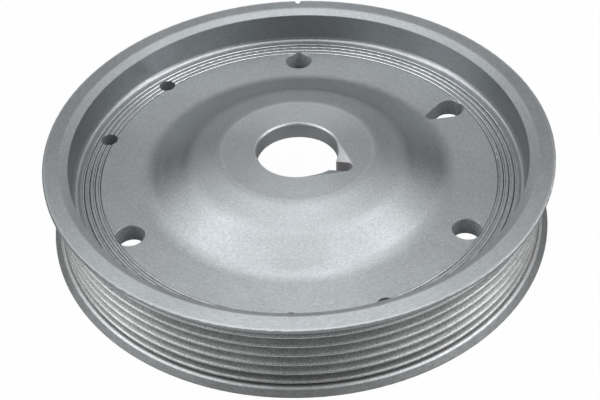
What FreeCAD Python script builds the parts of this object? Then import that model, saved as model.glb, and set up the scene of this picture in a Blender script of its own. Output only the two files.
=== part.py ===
import FreeCAD, Part
import math
import os

from FreeCAD import Vector

os.makedirs("parts", exist_ok=True)

# All sizes in millimetres, angles in degrees.
# The pulley axis is Z, the lower face of the rim lies on z = 0,
# and the timing notch of the upper flange points along +Y.

# Rim
outer_radius = 76.0            # both flanges
root_wall = 1.7                # rim wall behind the groove roots
back_wall = 1.0                # how much thicker the rim wall is below the web
ridge_set = 2.7                # inside of the rim to the highest line of its top
ridge_rise = 0.36              # ridge above the outer edge
lip_drop = 1.1                 # inner end of the rim top below the outer edge
land_height = 0.95             # upright outside of the upper flange
flange_round = 0.3             # upper edge of that outside
land_round = 0.15              # lower edge of that outside
lip_round = 0.4                # inner edge of the rim top
ridge_round = 0.5              # crown of the ridge

# Ribbed belt track
groove_count = 6
groove_pitch = 3.56            # standard pitch of the ribbed belt
groove_angle = 40.0            # both flanks together
groove_depth = 2.8             # crest to root
crest_drop = 2.9               # outer edge of the flanges to the crests
crest_width = 0.6
first_groove_drop = 4.02       # outer edge of the upper flange to the first groove
last_groove_rise = 4.48        # lower face to the last groove
crest_round = 0.2
root_round = 0.35
last_crest_width = 0.7         # crest beside the lower flange

# Lower flange, parted from the last crest by a narrow relief
relief_depth = 1.25
relief_width = 0.6             # at the crest
relief_root = 0.25
flange_start_rise = 0.7        # crest to the top edge of the lower flange
flange_start_round = 0.35
lower_land = 0.35              # upright band at the foot of the cone
foot_round = 0.15

# Web and dome
web_drop = 11.1                # outer edge of the upper flange to the web
web_depth = 5.8                # web and dome, measured along Z
dome_radius = 45.75            # where the dome would meet the web without its blend
dome_blend = 13.6              # blend between dome and web
knee_radius = 32.3             # where the dome turns flatter
knee_blend = 27.0
hub_radius = 22.8              # flat hub face
hub_edge_round = 2.0
hub_drop = 3.45                # outer edge of the upper flange to the hub face
dome_top_slope = 12.5          # slope of the dome beside the hub
foot_blend = 1.5               # web to rim wall, upper side
foot_reach = 2.3               # inside of the rim to the start of the sloping foot
foot_slope = 12.0              # slope of the web down into that blend
back_blend = 2.5               # web to rim wall, lower side
back_edge = 0.5                # lower inner edge of the rim

# Shallow round-bottomed rings turned in the web
ring_count = 4
ring_set = 3.4                 # inside of the rim to the outermost ring
ring_pitch = 1.54
ring_width = 0.8
ring_slope = 40.0              # slope of the groove at its edges
ring_bed = 0.95                # share of the groove taken by its round bottom

# Bore and key notch
bore_radius = 12.35
bore_lead = 0.45               # lead-in around the bore
key_angle = -30.0
key_out = 3.85                 # bore wall to the centre of the notch end
key_width = 4.4
key_lead = 0.4                 # lead-in around the notch end
lead_depth = 1.8               # depth of the lead-in where notch and bore meet
lead_toe = 0.4                 # end radius of the lead-in at its foot
lead_toe_out = 0.55            # bore wall to the centre of that end

# Holes through the web
hole_set = 12.6                # inside of the rim to the centres of the large holes
hole_radius = 4.2
hole_lead = 0.3
plain_hole_angles = (90.0, 210.0, 330.0)
slot_hole_angle = 30.0
slot_reach = 7.1               # centre of the hole to the centre of its narrow end
slot_end_radius = 1.75
lobe_angle = 90.0
lobe_set = 3.2                 # centre of the hole to the centre of the lobe
lobe_radius = 1.7
small_set = 6.8                # inside of the rim to the centres of the small holes
small_radius = 2.65
small_hole_angles = (135.0, 165.0, 268.6, 293.0)

# Timing notch in the upper flange
notch_angle = 90.0
notch_depth = 1.8
notch_mouth = 2.4
notch_floor = 1.0
notch_bulge = 0.25             # how far its floor is rounded inwards

# Derived radii
crest_radius = outer_radius - crest_drop
root_radius = crest_radius - groove_depth
relief_radius = crest_radius - relief_depth
flange_start_radius = crest_radius + flange_start_rise
rim_wall_radius = root_radius - root_wall
rim_back_radius = rim_wall_radius - back_wall
ridge_radius = rim_wall_radius + ridge_set
foot_start_radius = rim_wall_radius - foot_reach
last_ring_radius = rim_wall_radius - ring_set
first_ring_radius = last_ring_radius - (ring_count - 1) * ring_pitch
hole_circle = rim_wall_radius - hole_set
small_circle = rim_wall_radius - small_set
key_reach = bore_radius + key_out
lead_toe_reach = bore_radius + lead_toe_out

# Derived ring groove, a flat V whose point is rounded away
ring_edge = math.radians(ring_slope)
ring_apex = ring_width / 2 * math.tan(ring_edge)
ring_round = ring_bed * ring_width / 2 / math.sin(ring_edge)

# Derived levels
flank = math.radians(groove_angle / 2)
rim_height = last_groove_rise + (groove_count - 1) * groove_pitch + first_groove_drop
web_top = rim_height - web_drop
web_back = web_top - web_depth
foot_level = web_top - foot_reach * math.tan(math.radians(foot_slope))
hub_top = rim_height - hub_drop
hub_back = hub_top - web_depth
knee_top = hub_top - (knee_radius - hub_radius) * math.tan(math.radians(dome_top_slope))
knee_back = knee_top - web_depth
mouth_half = (groove_pitch - crest_width) / 2
root_half = mouth_half - groove_depth * math.tan(flank)
first_groove = rim_height - first_groove_drop
land_bottom = rim_height - land_height
last_groove = last_groove_rise
last_crest_foot = last_groove - mouth_half - last_crest_width
flange_start = last_crest_foot - relief_width
relief_middle = last_crest_foot - relief_width / 2
clear = 1.0                    # how far cutting bodies stand out of the part


def rounded_face(corners):
    # Closed outline in the XZ plane from (radius, height, rounding) corners.
    count = len(corners)
    joints = []
    for i in range(count):
        here = Vector(corners[i][0], 0, corners[i][1])
        before = Vector(corners[i - 1][0], 0, corners[i - 1][1]) - here
        after = Vector(corners[(i + 1) % count][0], 0, corners[(i + 1) % count][1]) - here
        before.normalize()
        after.normalize()
        rounding = corners[i][2]
        if rounding == 0:
            joints.append((here, None, here))
            continue
        half = before.getAngle(after) / 2
        setback = rounding / math.tan(half)
        bisector = before + after
        bisector.normalize()
        crown = rounding / math.sin(half) - rounding
        joints.append((here + before * setback, here + bisector * crown, here + after * setback))
    edges = []
    for i in range(count):
        start, middle, end = joints[i]
        if middle is not None:
            edges.append(Part.Arc(start, middle, end).toShape())
        following = joints[(i + 1) % count][0]
        edges.append(Part.LineSegment(end, following).toShape())
    return Part.Face(Part.Wire(edges))


def teardrop(large, small, reach, height):
    # Two circles, one on the axis and one at the given reach along X, joined by their tangents.
    turn = math.acos((large - small) / reach)
    normal = Vector(math.cos(turn), math.sin(turn), 0)
    mirrored = Vector(normal.x, -normal.y, 0)
    lift = Vector(0, 0, height)
    centre = Vector(reach, 0, 0)
    edges = [
        Part.Arc(lift + normal * large, lift - Vector(large, 0, 0), lift + mirrored * large).toShape(),
        Part.LineSegment(lift + mirrored * large, lift + centre + mirrored * small).toShape(),
        Part.Arc(lift + centre + mirrored * small, lift + centre + Vector(small, 0, 0),
                 lift + centre + normal * small).toShape(),
        Part.LineSegment(lift + centre + normal * small, lift + normal * large).toShape(),
    ]
    return Part.Wire(edges)


def turned(shape, angle):
    shape.rotate(Vector(0, 0, 0), Vector(0, 0, 1), angle)
    return shape


def web_hole(radius, reach, angle):
    height = hub_top - web_back + 2 * clear
    hole = Part.makeCylinder(radius, height, Vector(reach, 0, web_back - clear))
    return turned(hole, angle)


# Rim top, from the ridge outwards and down the belt track
corners = [
    (ridge_radius, rim_height + ridge_rise, ridge_round),
    (outer_radius, rim_height, flange_round),
    (outer_radius, land_bottom, land_round),
]
for i in range(groove_count):
    middle = first_groove - i * groove_pitch
    corners.append((crest_radius, middle + mouth_half, crest_round))
    corners.append((root_radius, middle + root_half, root_round))
    corners.append((root_radius, middle - root_half, root_round))
    corners.append((crest_radius, middle - mouth_half, crest_round))
corners.append((crest_radius, last_crest_foot, crest_round))
corners.append((relief_radius, relief_middle + relief_root / 2, 0))
corners.append((relief_radius, relief_middle - relief_root / 2, 0))
corners.append((flange_start_radius, flange_start, flange_start_round))
corners.append((outer_radius, lower_land, foot_round))
corners.append((outer_radius, 0, foot_round))

# Lower face, inside of the rim and the hollow side of the web
corners.append((rim_back_radius, 0, back_edge))
corners.append((rim_back_radius, web_back, back_blend))
corners.append((dome_radius, web_back, dome_blend))
corners.append((knee_radius, knee_back, knee_blend))
corners.append((hub_radius, hub_back, hub_edge_round))
corners.append((bore_radius + bore_lead, hub_back, 0))
corners.append((bore_radius, hub_back + bore_lead, 0))

# Hub face, dome and web with its turned rings
corners.append((bore_radius, hub_top, 0))
corners.append((hub_radius, hub_top, hub_edge_round))
corners.append((knee_radius, knee_top, knee_blend))
corners.append((dome_radius, web_top, dome_blend))
for i in range(ring_count):
    radius = first_ring_radius + i * ring_pitch
    corners.append((radius - ring_width / 2, web_top, 0))
    corners.append((radius, web_top - ring_apex, ring_round))
    corners.append((radius + ring_width / 2, web_top, 0))
corners.append((foot_start_radius, web_top, 0))
corners.append((rim_wall_radius, foot_level, foot_blend))
corners.append((rim_wall_radius, rim_height - lip_drop, lip_round))

pulley = rounded_face(corners).revolve(Vector(0, 0, 0), Vector(0, 0, 1), 360)

# Key notch: a parallel slot with a round end, open to the bore
slot_height = web_depth + 2 * clear
slot_bottom = hub_back - clear
slot = Part.makeBox(key_reach, key_width, slot_height, Vector(0, -key_width / 2, slot_bottom))
slot = slot.fuse(Part.makeCylinder(key_width / 2, slot_height, Vector(key_reach, 0, slot_bottom)))
pulley = pulley.cut(turned(slot, key_angle))

# Lead-in: a sloping mouth that runs from the bore out to the end of the notch
mouth = teardrop(bore_radius + bore_lead, key_width / 2 + key_lead, key_reach, hub_top)
mouth_foot = teardrop(bore_radius + bore_lead - lead_depth, lead_toe, lead_toe_reach, hub_top - lead_depth)
lead_in = Part.makeLoft([mouth, mouth_foot], True, True)
pulley = pulley.cut(turned(lead_in, key_angle))

# Plain holes with a small lead-in, one of them with a half-round lobe on its outer side
for angle in plain_hole_angles:
    pulley = pulley.cut(web_hole(hole_radius, hole_circle, angle))
    lead = Part.makeCone(hole_radius, hole_radius + hole_lead, hole_lead,
                         Vector(hole_circle, 0, web_top - hole_lead))
    pulley = pulley.cut(turned(lead, angle))
pulley = pulley.cut(web_hole(lobe_radius, hole_circle + lobe_set, lobe_angle))

# Hole with a narrow end towards the hub and the same lead-in
drop = teardrop(hole_radius, slot_end_radius, slot_reach, web_back - clear)
drop_body = Part.Face(drop).extrude(Vector(0, 0, hub_top - web_back + 2 * clear))
drop_lead = Part.makeLoft([
    teardrop(hole_radius, slot_end_radius, slot_reach, web_top - hole_lead),
    teardrop(hole_radius + 2 * hole_lead, slot_end_radius + 2 * hole_lead, slot_reach, web_top + hole_lead),
], True, True)
for body in (drop_body, drop_lead):
    body = turned(body, 180.0)
    body.translate(Vector(hole_circle, 0, 0))
    pulley = pulley.cut(turned(body, slot_hole_angle))

# Small holes among the rings
for angle in small_hole_angles:
    pulley = pulley.cut(web_hole(small_radius, small_circle, angle))

# Timing notch, a tapered cut through the lip of the upper flange
notch_bottom = land_bottom - clear
notch_start = outer_radius - notch_depth
notch_half = notch_mouth / 2 + (notch_mouth - notch_floor) / 2 * clear / notch_depth
notch_points = [
    Vector(notch_start, -notch_floor / 2, notch_bottom),
    Vector(outer_radius + clear, -notch_half, notch_bottom),
    Vector(outer_radius + clear, notch_half, notch_bottom),
    Vector(notch_start, notch_floor / 2, notch_bottom),
]
notch_arc = Part.Arc(notch_points[3], Vector(notch_start - notch_bulge, 0, notch_bottom), notch_points[0])
notch_wire = Part.Wire([
    Part.LineSegment(notch_points[0], notch_points[1]).toShape(),
    Part.LineSegment(notch_points[1], notch_points[2]).toShape(),
    Part.LineSegment(notch_points[2], notch_points[3]).toShape(),
    notch_arc.toShape(),
])
notch = Part.Face(notch_wire).extrude(Vector(0, 0, rim_height - notch_bottom + ridge_rise + clear))
pulley = pulley.cut(turned(notch, notch_angle))

pulley = pulley.removeSplitter()
if pulley.ShapeType == "Compound" and len(pulley.Solids) == 1:
    pulley = pulley.Solids[0]
pulley.exportStep("parts/pulley.step")
print("pulley", pulley.isValid(), len(pulley.Solids), round(pulley.Volume), pulley.BoundBox)
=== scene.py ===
import math

import bpy
from mathutils import Euler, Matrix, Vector

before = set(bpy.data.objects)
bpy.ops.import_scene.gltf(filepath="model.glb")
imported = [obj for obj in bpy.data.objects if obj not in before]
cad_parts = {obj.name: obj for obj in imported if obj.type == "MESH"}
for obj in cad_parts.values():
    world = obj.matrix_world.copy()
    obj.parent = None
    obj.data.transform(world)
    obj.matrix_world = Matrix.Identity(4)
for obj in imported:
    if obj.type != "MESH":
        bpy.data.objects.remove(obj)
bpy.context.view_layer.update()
print("frame loaded")

# Shader node groups, shared by the finishes


def newGroup(name, inputs, outputs):
    group = bpy.data.node_groups.new(name, "ShaderNodeTree")
    for label, kind, value in inputs:
        socket = group.interface.new_socket(label, in_out="INPUT", socket_type=kind)
        if value is not None:
            socket.default_value = value
    for label, kind in outputs:
        group.interface.new_socket(label, in_out="OUTPUT", socket_type=kind)
    return group, group.nodes.new("NodeGroupInput").outputs, group.nodes.new("NodeGroupOutput").inputs


def addGroup(tree, group, **values):
    node = tree.nodes.new("ShaderNodeGroup")
    node.node_tree = group
    for label, value in values.items():
        plug(tree, value, node.inputs[label.replace("_", " ")])
    return node.outputs


def plug(tree, value, socket):
    if isinstance(value, (int, float, tuple)):
        socket.default_value = value
    else:
        tree.links.new(value, socket)


def calculate(tree, operation, first, second=None, clamp=False):
    node = tree.nodes.new("ShaderNodeMath")
    node.operation = operation
    node.use_clamp = clamp
    plug(tree, first, node.inputs[0])
    if second is not None:
        plug(tree, second, node.inputs[1])
    return node.outputs[0]


def remap(tree, value, fromLow, fromHigh, toLow=0.0, toHigh=1.0):
    node = tree.nodes.new("ShaderNodeMapRange")
    for label, given in (("Value", value), ("From Min", fromLow), ("From Max", fromHigh),
                         ("To Min", toLow), ("To Max", toHigh)):
        plug(tree, given, node.inputs[label])
    return node.outputs["Result"]


def noise(tree, place, scale, detail, flat=False):
    node = tree.nodes.new("ShaderNodeTexNoise")
    node.noise_dimensions = "1D" if flat else "3D"
    plug(tree, place, node.inputs["W" if flat else "Vector"])
    plug(tree, scale, node.inputs["Scale"])
    node.inputs["Detail"].default_value = detail
    return node.outputs["Fac"]


def blend(tree, share, first, second):
    node = tree.nodes.new("ShaderNodeMix")
    node.data_type = "RGBA"
    plug(tree, share, node.inputs["Factor"])
    plug(tree, first, node.inputs[6])
    plug(tree, second, node.inputs[7])
    return node.outputs[2]


def vectorMath(tree, operation, first, second=None):
    node = tree.nodes.new("ShaderNodeVectorMath")
    node.operation = operation
    plug(tree, first, node.inputs[0])
    if second is not None:
        plug(tree, second, node.inputs["Scale"] if operation == "SCALE" else node.inputs[1])
    return node.outputs["Value" if operation == "DOT_PRODUCT" else "Vector"]


def between(tree, value, low, high):   # 1 inside the two limits, with hard ends
    return calculate(tree, "MULTIPLY", calculate(tree, "GREATER_THAN", value, low),
                     calculate(tree, "LESS_THAN", value, high))


def fold(tree, value, pitch):   # offset from the nearest of a row of evenly spaced centres
    node = tree.nodes.new("ShaderNodeMath")
    node.operation = "WRAP"
    plug(tree, value, node.inputs[0])
    plug(tree, pitch / 2, node.inputs[1])
    plug(tree, -pitch / 2, node.inputs[2])
    return node.outputs[0]


def rise(tree, sine):   # cosine that belongs to a sine
    left = calculate(tree, "SUBTRACT", 1.0, calculate(tree, "MULTIPLY", sine, sine), clamp=True)
    return calculate(tree, "SQRT", left)


def reach(tree, vector):   # distance from the axis, and height
    split = tree.nodes.new("ShaderNodeSeparateXYZ")
    plug(tree, vector, split.inputs[0])
    squareX = calculate(tree, "MULTIPLY", split.outputs["X"], split.outputs["X"])
    squareY = calculate(tree, "MULTIPLY", split.outputs["Y"], split.outputs["Y"])
    return calculate(tree, "SQRT", calculate(tree, "ADD", squareX, squareY)), split.outputs["Z"]


# Turning marks: the run across the feed is radius plus height, so flats get rings and walls get hoops
def turningMarks():
    tree, given, result = newGroup(
        "turning marks",
        [("Vector", "NodeSocketVector", None), ("Fine Scale", "NodeSocketFloat", 5200.0),
         ("Broad Scale", "NodeSocketFloat", 620.0)],
        [("Fine", "NodeSocketFloat"), ("Broad", "NodeSocketFloat")])
    radius, height = reach(tree, given["Vector"])
    across = calculate(tree, "ADD", radius, height)
    plug(tree, noise(tree, across, given["Fine Scale"], 2.0, flat=True), result["Fine"])
    plug(tree, noise(tree, across, given["Broad Scale"], 3.0, flat=True), result["Broad"])
    return tree


# Ring zone: 1 between two radii and two heights, with a soft border
def ringZone():
    tree, given, result = newGroup(
        "ring zone",
        [("Vector", "NodeSocketVector", None), ("Inner", "NodeSocketFloat", 0.0),
         ("Outer", "NodeSocketFloat", 1.0), ("Low", "NodeSocketFloat", -1.0),
         ("High", "NodeSocketFloat", 1.0), ("Border", "NodeSocketFloat", 0.0002)],
        [("Mask", "NodeSocketFloat")])
    radius, height = reach(tree, given["Vector"])
    mask = 1.0
    for value, low, high in ((radius, "Inner", "Outer"), (height, "Low", "High")):
        above = remap(tree, value, given[low], calculate(tree, "ADD", given[low], given["Border"]))
        below = remap(tree, value, given[high], calculate(tree, "SUBTRACT", given[high], given["Border"]))
        mask = calculate(tree, "MULTIPLY", mask, calculate(tree, "MULTIPLY", above, below))
    plug(tree, mask, result["Mask"])
    return tree


# Edge wear and glint: the normal rounded over each edge, and how far it leans away from the face there. The
# mask lightens the edges, partly as wear and partly as a painted highlight.
wearAndGlintLean = {
    "none": 0.995,   # cosine of the lean at which edge wear and the painted glint begin
    "full": 0.8,
    "samples": 6,
}


def edgeWearAndGlint():
    tree, given, result = newGroup(
        "edge wear and glint",
        [("Radius", "NodeSocketFloat", 0.0002)],
        [("Mask", "NodeSocketFloat"), ("Normal", "NodeSocketVector")])
    bevel = tree.nodes.new("ShaderNodeBevel")
    bevel.samples = wearAndGlintLean["samples"]
    plug(tree, given["Radius"], bevel.inputs["Radius"])
    geometry = tree.nodes.new("ShaderNodeNewGeometry")
    lean = vectorMath(tree, "DOT_PRODUCT", bevel.outputs[0], geometry.outputs["Normal"])
    plug(tree, remap(tree, lean, wearAndGlintLean["none"], wearAndGlintLean["full"]), result["Mask"])
    plug(tree, bevel.outputs[0], result["Normal"])
    return tree


# Turned profile: the lean of the turned faces by radius, which the facets only come near. The rib tops
# are rounder and the ring edges steeper than the solid's. On an arc the sine of the slope runs straight
# with the radius, so each bend is one straight ramp.
turnedLean = {
    "bends": [   # radius at its start and end, change of the sine of the slope
        (0.02250, 0.02500, 0.2164),
        (0.03002, 0.03446, 0.1647),
        (0.04326, 0.04844, -0.3811),
    ],
    "foot": [
        (0.06630, 0.06632, 0.2079),
        (0.06679, 0.06860, -1.2079),
    ],
    "rim": [
        (0.06860, 0.06861, 0.75),
        (0.07070, 0.07150, 0.3266),
    ],
    "rimLevel": 0.0251,
    "rings": {"first": 0.06044, "pitch": 0.00161, "count": 4, "half": 0.00043, "edgeSine": 0.88,
              "Painted Groove Shade": (-0.00036, 0.00016), "Painted Lip Highlight": (0.00020, 0.00024)},   # offset, half width
    "zone": (0.0222, 0.0755),
    "crowns": {"first": 0.00270, "pitch": 0.00356, "half": 0.00042, "flankSine": 0.94,
               "radii": (0.0727, 0.0732), "levels": (0.0020, 0.0213)},
    "closest": 0.72,   # cosine of the largest correction
    "level": 0.5,      # least upward lean of a face that carries ring tones
}


def turnedProfile():
    tree, given, result = newGroup(
        "turned profile",
        [("Vector", "NodeSocketVector", None), ("Normal", "NodeSocketVector", None)],
        [("Normal", "NodeSocketVector"), ("Painted Groove Shade", "NodeSocketFloat"), ("Painted Lip Highlight", "NodeSocketFloat"),
         ("Wall", "NodeSocketFloat")])
    radius, height = reach(tree, given["Vector"])
    outward = vectorMath(tree, "NORMALIZE", vectorMath(tree, "MULTIPLY", given["Vector"], (1.0, 1.0, 0.0)))
    upright = vectorMath(tree, "DOT_PRODUCT", given["Normal"], (0.0, 0.0, 1.0))
    side = calculate(tree, "SIGN", upright)
    top = calculate(tree, "GREATER_THAN", upright, 0.0)

    rings = turnedLean["rings"]
    offset = calculate(tree, "SUBTRACT", radius, rings["first"])
    fromRing = fold(tree, offset, rings["pitch"])
    last = (rings["count"] - 1) * rings["pitch"] + rings["half"]
    among = between(tree, offset, -rings["half"], last)
    wall = calculate(tree, "LESS_THAN", calculate(tree, "ABSOLUTE", fromRing), rings["half"])
    ringSine = calculate(tree, "MULTIPLY", fromRing, -rings["edgeSine"] / rings["half"])
    onTop = calculate(tree, "MULTIPLY", ringSine, calculate(tree, "MULTIPLY", wall, among))
    level = calculate(tree, "GREATER_THAN", upright, turnedLean["level"])
    amongTop = calculate(tree, "MULTIPLY", among, level)
    plug(tree, calculate(tree, "MULTIPLY", wall, amongTop), result["Wall"])
    # Masks for the ring tones: painted shade on the inner wall of each ring groove, and a painted highlight
    # on its lip
    for label in ("Painted Groove Shade", "Painted Lip Highlight"):
        centre, reachOut = rings[label]
        away = calculate(tree, "ABSOLUTE", calculate(tree, "SUBTRACT", fromRing, centre))
        plug(tree, calculate(tree, "MULTIPLY", remap(tree, away, reachOut, 0.0), amongTop), result[label])
    for start, end, change in turnedLean["foot"] + turnedLean["rim"]:
        onTop = calculate(tree, "ADD", onTop, remap(tree, radius, start, end, 0.0, change))
    sine = calculate(tree, "MULTIPLY", onTop, top)
    for start, end, change in turnedLean["bends"]:
        sine = calculate(tree, "ADD", sine, remap(tree, radius, start, end, 0.0, change))

    lift = tree.nodes.new("ShaderNodeCombineXYZ")
    plug(tree, rise(tree, sine), lift.inputs["Z"])
    exact = vectorMath(tree, "ADD", vectorMath(tree, "SCALE", outward, sine), lift.outputs[0])
    exact = vectorMath(tree, "SCALE", exact, side)
    likeness = vectorMath(tree, "DOT_PRODUCT", exact, given["Normal"])
    near = calculate(tree, "GREATER_THAN", likeness, turnedLean["closest"])
    near = calculate(tree, "MULTIPLY", near, between(tree, radius, *turnedLean["zone"]))
    onRim = calculate(tree, "GREATER_THAN", height, turnedLean["rimLevel"])
    onWeb = calculate(tree, "LESS_THAN", radius, turnedLean["foot"][-1][1])
    near = calculate(tree, "MULTIPLY", near, calculate(tree, "MAXIMUM", onRim, onWeb))
    step = vectorMath(tree, "SCALE", vectorMath(tree, "SUBTRACT", exact, given["Normal"]), near)
    turned = vectorMath(tree, "ADD", given["Normal"], step)

    crowns = turnedLean["crowns"]   # tops of the ribs, round from flank to flank
    fromCrown = fold(tree, calculate(tree, "SUBTRACT", height, crowns["first"]), crowns["pitch"])
    half, steepest = crowns["half"], crowns["flankSine"]
    sine = remap(tree, fromCrown, -half, half, -steepest, steepest)
    lift = tree.nodes.new("ShaderNodeCombineXYZ")
    plug(tree, sine, lift.inputs["Z"])
    crown = vectorMath(tree, "ADD", vectorMath(tree, "SCALE", outward, rise(tree, sine)), lift.outputs[0])
    onCrown = calculate(tree, "LESS_THAN", calculate(tree, "ABSOLUTE", fromCrown), half)
    for value, limits in ((radius, crowns["radii"]), (height, crowns["levels"])):
        onCrown = calculate(tree, "MULTIPLY", onCrown, between(tree, value, *limits))
    step = vectorMath(tree, "SCALE", vectorMath(tree, "SUBTRACT", crown, turned), onCrown)
    plug(tree, vectorMath(tree, "ADD", turned, step), result["Normal"])
    return tree


# Satin grain: fine even speckle, short streaks along the turning, and slow clouds for handling marks
def satinGrain():
    tree, given, result = newGroup(
        "satin grain",
        [("Vector", "NodeSocketVector", None), ("Speckle Scale", "NodeSocketFloat", 2200.0),
         ("Streak Scale", "NodeSocketFloat", 3200.0), ("Streaks Round", "NodeSocketFloat", 40.0),
         ("Cloud Scale", "NodeSocketFloat", 60.0)],
        [("Speckle", "NodeSocketFloat"), ("Streak", "NodeSocketFloat"), ("Cloud", "NodeSocketFloat")])
    plug(tree, noise(tree, given["Vector"], given["Speckle Scale"], 1.0), result["Speckle"])
    plug(tree, noise(tree, given["Vector"], given["Cloud Scale"], 3.0), result["Cloud"])
    radius, height = reach(tree, given["Vector"])
    outward = vectorMath(tree, "NORMALIZE", vectorMath(tree, "MULTIPLY", given["Vector"], (1.0, 1.0, 0.0)))
    lift = tree.nodes.new("ShaderNodeCombineXYZ")
    across = calculate(tree, "ADD", radius, height)
    plug(tree, calculate(tree, "MULTIPLY", across, given["Streak Scale"]), lift.inputs["Z"])
    along = vectorMath(tree, "SCALE", outward, given["Streaks Round"])
    plug(tree, noise(tree, vectorMath(tree, "ADD", along, lift.outputs[0]), 1.0, 1.0), result["Streak"])
    return tree


marksGroup = turningMarks()
zoneGroup = ringZone()
wearAndGlintGroup = edgeWearAndGlint()
profileGroup = turnedProfile()
grainGroup = satinGrain()

# Satin steel of the whole pulley: one colour for each zone. Edges are lighter, partly as wear and partly as
# painted highlight; rib crests and some other zones carry painted highlights; reliefs, small holes and some
# other zones carry painted shade;
# the hole walls are dull, and the lower flange is rougher
steelFinish = {
    "face": (0.53, 0.56, 0.58, 1.0),
    "track": (0.61, 0.63, 0.63, 1.0),
    # painted shade: the lower flange is darker than the face; its finish is also rougher
    "flange": (0.41, 0.425, 0.43, 1.0),
    # painted highlight: the rib crests are lighter than the track
    "painted crest highlight": (0.90, 0.92, 0.92, 1.0),
    # painted shade in the relief gap under the last rib
    "relief": (0.40, 0.40, 0.40, 1.0),
    # painted shade: the upright land of the upper flange is darker than the face
    "painted land shade": (0.50, 0.53, 0.55, 1.0),
    # painted highlight on the top edge of the lower flange
    "painted flange edge highlight": (0.88, 0.90, 0.92, 1.0),
    # painted highlight on the outer edge of the upper flange
    "painted rim edge highlight": (0.64, 0.67, 0.69, 1.0),
    # painted shade on the inner wall of the rim
    "painted recess shade": (0.38, 0.40, 0.41, 1.0),
    # painted highlight on the fillet at the foot of the rim wall
    "foot": (0.66, 0.68, 0.70, 1.0),
    # painted highlight on the edge of the hub
    "painted hub edge highlight": (0.58, 0.61, 0.63, 1.0),
    # painted highlight on the lead-in edge of the bore
    "painted bore lead-in highlight": (1.00, 1.00, 1.00, 1.0),
    # painted light: the sloping mouth of the key notch is lighter, to lift its shaded near side
    "mouth": (0.80, 0.83, 0.85, 1.0),
    # painted light: the bore wall is lighter than the face, to lift its dark reflection
    "bore": (0.92, 0.97, 1.00, 1.0),
    # painted light: the key slot walls are lighter than the face, to lift their dark reflection
    "painted key slot light": (0.64, 0.62, 0.63, 1.0),
    "hole": (0.50, 0.52, 0.54, 1.0),
    # painted shade: the small holes are darker than the bolt holes
    "painted small hole shade": (0.33, 0.34, 0.35, 1.0),
    # painted shade on the lowest groove, next to the lower flange
    "painted low track shade": (0.46, 0.47, 0.47, 1.0),
    # colour of the edges, partly wear and partly painted highlight, and of the painted highlight on the ring
    # lips
    "edge": (0.90, 0.91, 0.92, 1.0),
    "roughness": {
        "face": 0.44, "dome": 0.38, "track": 0.42, "flange": 0.6, "painted flange edge highlight": 0.3, "painted land shade": 0.3,
        "foot": 0.36, "hole": 0.9, "ring wall": 0.20,
        "edge": -0.12,           # added where an edge is worn
        "broad": 0.015,          # swing from one broad turning mark to the next
    },
    "dome": (0.0310, 0.0470, 0.003),   # smoother steep part: inner and outer radius, border
    "anisotropy": 0.45,          # stretched across the turning marks
    "quarterTurn": 0.25,         # the marks run round the axis
    "wearAndGlint": 0.8,                 # share of the edge colour on an edge, partly wear and partly painted highlight
    "noise": (0.3, 0.7),         # range of the noise that gives the full swing
    "wall": (0.3, 0.1),          # upward lean of a face that is no wall, and of one that is
    "slope": (0.97, 0.9),        # the same for the sloping mouth of the key notch
    "lobeSide": 0.052,           # beyond this Y the lobe of the far hole reaches the small holes' radii
    "tone": {"cloud": 0.05, "speckle": 0.09, "streak": 0.08},
    "coarse": 1.5,               # more speckle on the belt track and in the holes
    "paintedRingShade": 0.12,             # painted shade: what is left of the tone on the inner wall of the turned rings
    "markDepth": 0.000004,
    "grainDepth": 0.000006,
    "bumpStrength": 0.3,
    "edgeRadius": 0.00022,
}

# Several zones carry painted light: painted highlights on the rib crests, the flange and rim edges, the foot
# fillet, the hub edge, the bore lead-in, the key mouth, the bore and the key slot; painted shade in the
# relief, the recess, the upper land, the lower flange, the lowest groove and the small holes
steelZones = {   # inner and outer radius, lower and upper height
    "track": (0.0694, 0.0777, 0.0016, 0.0251),
    "flange": (0.0694, 0.0777, -0.001, 0.0018),
    "painted low track shade": (0.0694, 0.0777, 0.0017, 0.0048),
    "painted crest highlight": (0.07262, 0.0733, 0.0016, 0.0251),
    "relief": (0.0700, 0.0737, 0.0013, 0.0021),
    "painted flange edge highlight": (0.0734, 0.0744, 0.0010, 0.0022),
    "painted land shade": (0.0757, 0.0762, 0.0251, 0.0262),
    "painted rim edge highlight": (0.0751, 0.0761, 0.0259, 0.0266),
    "painted recess shade": (0.0682, 0.0697, 0.0162, 0.0251),
    # zone of the painted highlight on the foot fillet
    "foot": (0.0673, 0.0690, 0.0143, 0.0164),
    "painted hub edge highlight": (0.0223, 0.0234, 0.0220, 0.0236),
    "painted bore lead-in highlight": (0.0121, 0.0130, 0.0222, 0.0232),
    "mouth": (0.0124, 0.0212, 0.0175, 0.0229),
    "bore": (-1.0, 0.0215, -1.0, 1.0),
    "painted key slot light": (0.0128, 0.0215, -1.0, 1.0),
    "hole": (0.0215, 0.0667, -1.0, 1.0),
    "painted small hole shade": (0.0600, 0.0667, -1.0, 1.0),
}


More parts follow.
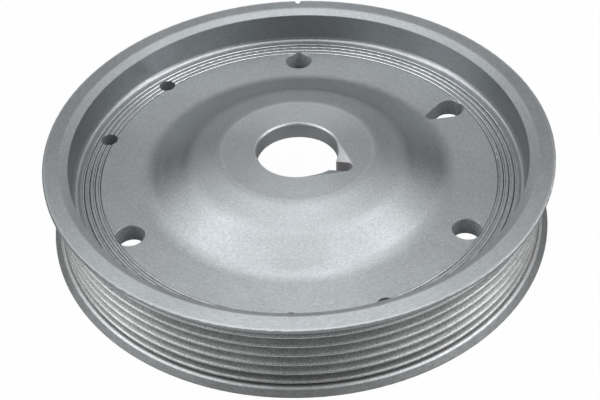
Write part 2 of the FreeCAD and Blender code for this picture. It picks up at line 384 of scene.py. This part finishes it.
def turnedSteel():
    material = bpy.data.materials.new("turned steel")
    material.use_nodes = True
    tree = material.node_tree
    shader = tree.nodes["Principled BSDF"]
    place = tree.nodes.new("ShaderNodeTexCoord").outputs["Object"]
    marks = addGroup(tree, marksGroup, Vector=place)
    grain = addGroup(tree, grainGroup, Vector=place)
    wearAndGlint = addGroup(tree, wearAndGlintGroup, Radius=steelFinish["edgeRadius"])
    zones = {}
    for label, (inner, outer, low, high) in steelZones.items():
        zone = addGroup(tree, zoneGroup, Vector=place, Inner=inner, Outer=outer, Low=low, High=high)
        zones[label] = zone["Mask"]
    inner, outer, soft = steelFinish["dome"]
    domeMask = addGroup(tree, zoneGroup, Vector=place, Inner=inner, Outer=outer, Border=soft)["Mask"]
    rough = steelFinish["roughness"]

    # Upright walls of the bore and of the holes
    facing = tree.nodes.new("ShaderNodeSeparateXYZ")
    plug(tree, tree.nodes.new("ShaderNodeNewGeometry").outputs["Normal"], facing.inputs[0])
    upright = remap(tree, calculate(tree, "ABSOLUTE", facing.outputs["Z"]), *steelFinish["wall"])
    for label in ("bore", "painted key slot light", "hole", "painted small hole shade"):
        zones[label] = calculate(tree, "MULTIPLY", zones[label], upright)
    axes = tree.nodes.new("ShaderNodeSeparateXYZ")
    plug(tree, place, axes.inputs[0])
    besideLobe = calculate(tree, "LESS_THAN", axes.outputs["Y"], steelFinish["lobeSide"])
    zones["painted small hole shade"] = calculate(tree, "MULTIPLY", zones["painted small hole shade"], besideLobe)

    sloping = remap(tree, calculate(tree, "ABSOLUTE", facing.outputs["Z"]), *steelFinish["slope"])
    zones["mouth"] = calculate(tree, "MULTIPLY", zones["mouth"], sloping)

    # Zone colours, among them painted highlights and painted shade
    color = steelFinish["face"]
    for label, mask in zones.items():
        color = blend(tree, mask, color, steelFinish[label])
    # Edges take the edge colour, partly wear and partly painted highlight, but none in the painted shade of
    # the relief
    wearAndGlintShare = calculate(tree, "SUBTRACT", steelFinish["wearAndGlint"], zones["relief"], clamp=True)
    wornAndGlinting = calculate(tree, "MULTIPLY", wearAndGlint["Mask"], wearAndGlintShare)
    color = blend(tree, wornAndGlinting, color, steelFinish["edge"])
    profile = addGroup(tree, profileGroup, Vector=place, Normal=wearAndGlint["Normal"])
    # Painted highlight on the ring lips, and painted shade on the inner walls of the ring grooves
    color = blend(tree, profile["Painted Lip Highlight"], color, steelFinish["edge"])
    tone = remap(tree, profile["Painted Groove Shade"], 0.0, 1.0, 1.0, steelFinish["paintedRingShade"])
    coarse = calculate(tree, "MAXIMUM", zones["track"], zones["hole"])
    coarse = calculate(tree, "MULTIPLY", coarse, steelFinish["coarse"])
    for part, label in (("cloud", "Cloud"), ("speckle", "Speckle"), ("streak", "Streak")):
        swing = remap(tree, grain[label], *steelFinish["noise"], -1.0, 1.0)
        swing = calculate(tree, "MULTIPLY", swing, steelFinish["tone"][part])
        if part == "speckle":
            swing = calculate(tree, "MULTIPLY", swing, calculate(tree, "ADD", coarse, 1.0))
        tone = calculate(tree, "MULTIPLY", tone, calculate(tree, "ADD", swing, 1.0))
    plug(tree, vectorMath(tree, "SCALE", color, tone), shader.inputs["Base Color"])
    plug(tree, calculate(tree, "SUBTRACT", 1.0, zones["hole"]), shader.inputs["Metallic"])   # dull hole walls

    matt = rough["face"]
    parts = [(zones[label], label) for label in ("track", "flange", "painted flange edge highlight", "painted land shade", "foot", "hole")]
    for mask, label in parts + [(domeMask, "dome"), (profile["Wall"], "ring wall")]:
        change = calculate(tree, "MULTIPLY", mask, rough[label] - rough["face"])
        matt = calculate(tree, "ADD", matt, change)
    broad = remap(tree, marks["Broad"], *steelFinish["noise"], -rough["broad"], rough["broad"])
    matt = calculate(tree, "ADD", matt, broad)
    matt = calculate(tree, "ADD", matt, remap(tree, wearAndGlint["Mask"], 0.0, 1.0, 0.0, rough["edge"]))
    plug(tree, matt, shader.inputs["Roughness"])

    shader.inputs["Specular IOR Level"].default_value = 0.0   # no gloss on the dull walls
    shader.inputs["Anisotropic"].default_value = steelFinish["anisotropy"]
    shader.inputs["Anisotropic Rotation"].default_value = steelFinish["quarterTurn"]
    hoop = tree.nodes.new("ShaderNodeTangent")
    hoop.direction_type = "RADIAL"
    hoop.axis = "Z"
    plug(tree, hoop.outputs["Tangent"], shader.inputs["Tangent"])

    normal = profile["Normal"]
    for height, depth in ((marks["Fine"], steelFinish["markDepth"]),
                          (grain["Speckle"], steelFinish["grainDepth"])):
        bump = tree.nodes.new("ShaderNodeBump")
        bump.inputs["Strength"].default_value = steelFinish["bumpStrength"]
        bump.inputs["Distance"].default_value = depth
        plug(tree, height, bump.inputs["Height"])
        plug(tree, normal, bump.inputs["Normal"])
        normal = bump.outputs["Normal"]
    plug(tree, normal, shader.inputs["Normal"])
    return material


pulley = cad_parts["pulley"]
steel = turnedSteel()
for slot in pulley.material_slots:
    slot.link = "OBJECT"
    slot.material = steel
print("finish on the pulley")

# Floor: pale, white to the camera, and it keeps the pulley's shadow
floorSizes = {
    "half": 4.0,
    "color": (0.5, 0.5, 0.5, 1.0),
    "cameraShare": 0.985,
    "glossyShare": 0.06,
}


def makeFloor():
    half = floorSizes["half"]
    mesh = bpy.data.meshes.new("floor")
    corners = [(-half, -half, 0), (half, -half, 0), (half, half, 0), (-half, half, 0)]
    mesh.from_pydata(corners, [], [(0, 1, 2, 3)])
    floor = bpy.data.objects.new("floor", mesh)
    bpy.context.scene.collection.objects.link(floor)
    material = bpy.data.materials.new("floor")
    material.use_nodes = True
    tree = material.node_tree
    tree.nodes.remove(tree.nodes["Principled BSDF"])
    output = tree.nodes["Material Output"]
    matt = tree.nodes.new("ShaderNodeBsdfDiffuse")
    matt.inputs["Color"].default_value = floorSizes["color"]
    white = tree.nodes.new("ShaderNodeEmission")
    path = tree.nodes.new("ShaderNodeLightPath")
    seen = calculate(tree, "MAXIMUM", path.outputs["Is Camera Ray"], path.outputs["Is Transmission Ray"])
    seen = calculate(tree, "MULTIPLY", seen, floorSizes["cameraShare"])
    mirrored = calculate(tree, "MULTIPLY", path.outputs["Is Glossy Ray"], floorSizes["glossyShare"])
    mix = tree.nodes.new("ShaderNodeMixShader")
    tree.links.new(calculate(tree, "MAXIMUM", seen, mirrored), mix.inputs["Fac"])
    tree.links.new(matt.outputs[0], mix.inputs[1])
    tree.links.new(white.outputs[0], mix.inputs[2])
    tree.links.new(mix.outputs[0], output.inputs["Surface"])
    mesh.materials.append(material)
    return floor


floor = makeFloor()

# Studio light: soft panels at the rear, the sides and the front and over the top, aimed at the pulley
studio = {
    "distance": 1.3,
    "panels": [   # name, azimuth and elevation in degrees, width and height in metres, radiance
        ("top", 90, 86, 0.80, 0.70, 1.22),
        ("rear high", 90, 64, 0.50, 0.45, 1.76),
        ("rear left high", 135, 60, 0.50, 0.45, 0.79),
        ("rear right high", 45, 60, 0.50, 0.45, 0.25),
        ("rear", 90, 44, 0.60, 0.35, 0.53),
        ("rear left", 140, 42, 0.60, 0.35, 1.03),
        ("rear right", 40, 42, 0.60, 0.35, 0.84),
        ("low rear", 90, 24, 1.20, 0.35, 0.22),
        ("left high", 176, 56, 0.70, 0.55, 1.41),
        ("right high", 4, 56, 0.70, 0.55, 1.88),
        ("left", 182, 36, 0.50, 0.35, 1.88),
        ("right", 358, 36, 0.50, 0.35, 1.53),
        ("low left", 195, 14, 0.60, 0.35, 1.77),
        ("low right", 345, 14, 0.60, 0.35, 1.66),
        ("front left", 222, 40, 0.50, 0.50, 0.97),
        ("front right", 318, 40, 0.50, 0.50, 1.21),
        ("front left high", 215, 66, 0.50, 0.40, 1.18),
        ("front right high", 325, 66, 0.50, 0.40, 1.25),
    ],
    "ambient": 0.07,
}


def addPanels():
    for name, azimuth, elevation, width, height, radiance in studio["panels"]:
        data = bpy.data.lights.new(name, "AREA")
        data.shape = "RECTANGLE"
        data.size = width
        data.size_y = height
        data.energy = radiance * math.pi * width * height
        turn, lift = math.radians(azimuth), math.radians(elevation)
        toward = Vector((math.cos(lift) * math.cos(turn), math.cos(lift) * math.sin(turn), math.sin(lift)))
        panel = bpy.data.objects.new(name, data)
        panel.location = toward * studio["distance"]
        panel.rotation_euler = toward.to_track_quat("Z", "Y").to_euler()
        bpy.context.scene.collection.objects.link(panel)


addPanels()
world = bpy.data.worlds.new("studio")
world.use_nodes = True
world.node_tree.nodes["Background"].inputs["Color"].default_value = (1.0, 1.0, 1.0, 1.0)
world.node_tree.nodes["Background"].inputs["Strength"].default_value = studio["ambient"]
bpy.context.scene.world = world
bpy.context.scene.view_settings.view_transform = "Standard"
print("floor and light")

# Camera at the photograph's angle
cameraView = {
    "place": (0.009602, -0.287438, 0.262621),
    "turn": (50.1531, 2.7469, 1.2423),
    "lens": 74.648,
    "sensor": 36.0,
    "nearest": 0.01,
    "shift": (0.05, -0.08333),
}


def addCamera():
    data = bpy.data.cameras.new("camera")
    data.lens = cameraView["lens"]
    data.sensor_width = cameraView["sensor"]
    data.shift_x, data.shift_y = cameraView["shift"]
    data.clip_start = cameraView["nearest"]
    camera = bpy.data.objects.new("camera", data)
    camera.location = cameraView["place"]
    camera.rotation_euler = Euler([math.radians(angle) for angle in cameraView["turn"]], "XYZ")
    bpy.context.scene.collection.objects.link(camera)
    bpy.context.scene.camera = camera


addCamera()
print("camera")
